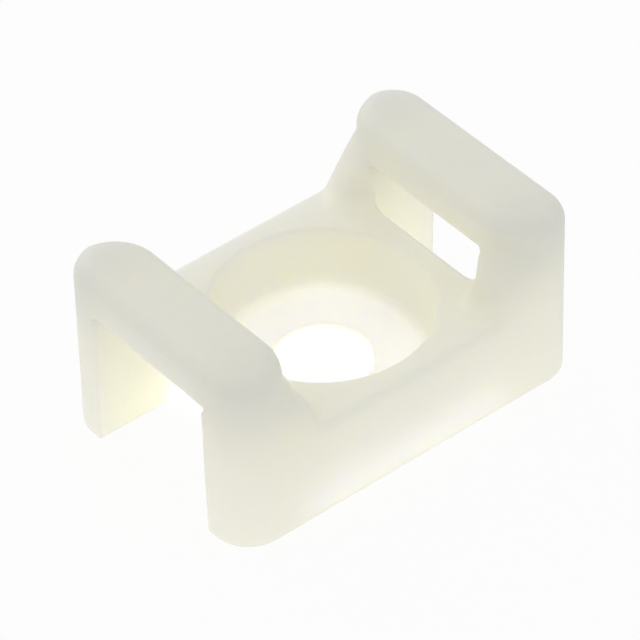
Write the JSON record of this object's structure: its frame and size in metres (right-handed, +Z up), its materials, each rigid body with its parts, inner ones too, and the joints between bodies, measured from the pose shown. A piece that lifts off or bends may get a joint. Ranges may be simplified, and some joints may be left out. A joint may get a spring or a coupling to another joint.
{
  "type": "cable tie mount",
  "caption": "Saddle-shaped mount for a cable tie: a plate with a recessed screw hole between two side walls, and a rounded bar bridging the walls above an open slot at each end.",
  "frame": {"origin": "centre of the base face", "axes": "+X along the mount from one bar to the other, +Y across it from one side wall to the other, +Z up from the base face"},
  "size_m": [0.0226, 0.0144, 0.0107],
  "materials": {
    "body": "satin, slightly translucent natural polyamide"
  },
  "bodies": {
    "root": {"mount": "body"}
  },
  "joints": []
}
